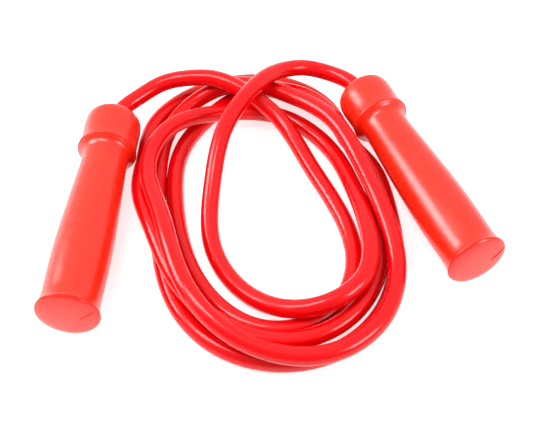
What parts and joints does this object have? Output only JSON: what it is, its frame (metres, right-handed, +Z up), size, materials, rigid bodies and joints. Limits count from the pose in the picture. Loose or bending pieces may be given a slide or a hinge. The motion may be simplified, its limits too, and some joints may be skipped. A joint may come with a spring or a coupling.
{
  "type": "jump rope",
  "caption": "Heavy jump rope lying in loose turns: a thick glossy rope joined to flared plastic handles that spin on ball bearings.",
  "frame": {"origin": "on the surface that the handles and the rope lie on, under the middle of the two handles' box", "axes": "+X from the left handle to the right one, +Y from the handles' wide ends towards their caps, +Z up"},
  "size_m": [0.2455, 0.2158, 0.0349],
  "materials": {
    "handle_plastic": "satin, injection moulded, red",
    "rope_pvc": "glossy extruded PVC, red",
    "bearing_steel": "ground and polished bearing steel",
    "cage_nylon": "natural moulded nylon",
    "spring_steel": "blackened spring steel",
    "bush_nylon": "moulded nylon, red",
    "plated_steel": "zinc-plated steel",
    "ferrule_alloy": "drawn and crimped aluminium"
  },
  "bodies": {
    "rope_line": {"rope": "rope_pvc", "left_bearing_inner_race": "bearing_steel", "left_rope_bush": "bush_nylon", "left_rope_washer": "plated_steel", "left_rope_ferrule": "ferrule_alloy", "right_bearing_inner_race": "bearing_steel", "right_rope_bush": "bush_nylon", "right_rope_washer": "plated_steel", "right_rope_ferrule": "ferrule_alloy"},
    "left_handle": {"left_head_cap": "handle_plastic", "left_grip": "handle_plastic", "left_end_plug": "handle_plastic", "left_bearing_outer_race": "bearing_steel", "left_bearing_retainer": "spring_steel"},
    "left_cage": {"left_bearing_cage": "cage_nylon", "left_bearing_ball_1": "bearing_steel", "left_bearing_ball_2": "bearing_steel", "left_bearing_ball_3": "bearing_steel", "left_bearing_ball_4": "bearing_steel", "left_bearing_ball_5": "bearing_steel", "left_bearing_ball_6": "bearing_steel", "left_bearing_ball_7": "bearing_steel", "left_bearing_ball_8": "bearing_steel"},
    "right_handle": {"right_head_cap": "handle_plastic", "right_grip": "handle_plastic", "right_end_plug": "handle_plastic", "right_bearing_outer_race": "bearing_steel", "right_bearing_retainer": "spring_steel"},
    "right_cage": {"right_bearing_cage": "cage_nylon", "right_bearing_ball_1": "bearing_steel", "right_bearing_ball_2": "bearing_steel", "right_bearing_ball_3": "bearing_steel", "right_bearing_ball_4": "bearing_steel", "right_bearing_ball_5": "bearing_steel", "right_bearing_ball_6": "bearing_steel", "right_bearing_ball_7": "bearing_steel", "right_bearing_ball_8": "bearing_steel"}
  },
  "joints": [
    {"name": "left_handle_spin", "type": "hinge", "parent": "rope_line", "child": "left_handle", "pos_m": [-0.0952, 0.056, 0.01705], "axis": [-0.075, -0.9972, 0], "continuous": true},
    {"name": "right_handle_spin", "type": "hinge", "parent": "rope_line", "child": "right_handle", "pos_m": [0.0532, 0.0799, 0.01705], "axis": [0.3827, -0.9239, 0], "continuous": true},
    {"name": "left_cage_spin", "type": "hinge", "parent": "rope_line", "child": "left_cage", "pos_m": [-0.0952, 0.056, 0.01705], "axis": [-0.075, -0.9972, 0], "continuous": true},
    {"name": "right_cage_spin", "type": "hinge", "parent": "rope_line", "child": "right_cage", "pos_m": [0.0532, 0.0799, 0.01705], "axis": [0.3827, -0.9239, 0], "continuous": true}
  ],
  "couplings": [
    {"joint": "left_cage_spin", "follows": "left_handle_spin", "ratio": 0.593},
    {"joint": "right_cage_spin", "follows": "right_handle_spin", "ratio": 0.593}
  ]
}
